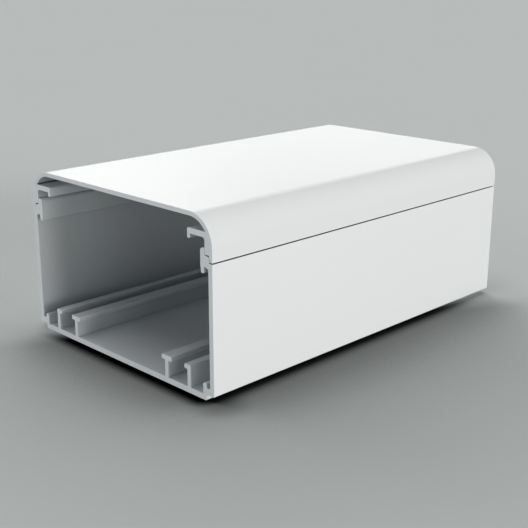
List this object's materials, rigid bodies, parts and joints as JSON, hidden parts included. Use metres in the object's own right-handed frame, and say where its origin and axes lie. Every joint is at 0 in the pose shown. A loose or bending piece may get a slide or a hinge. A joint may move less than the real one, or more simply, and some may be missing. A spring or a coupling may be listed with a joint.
{
  "type": "cable trunking length with clip-on cover",
  "caption": "Straight length of rectangular cable trunking: ribbed U-shaped base with clip heads and a clip-on cover with large rounded edges.",
  "frame": {"origin": "middle of the underside, on the surface that the trunking lies on or is fixed to", "axes": "+Y along the length, +Z from the fixing face out to the cover, X across the width"},
  "size_m": [0.11, 0.172, 0.068],
  "materials": {
    "base_plastic": "smooth extruded white plastic, satin gloss",
    "cover_plastic": "smooth extruded white plastic, satin gloss"
  },
  "bodies": {
    "root": {"trunking_base": "base_plastic", "snap_cover": "cover_plastic"}
  },
  "joints": []
}
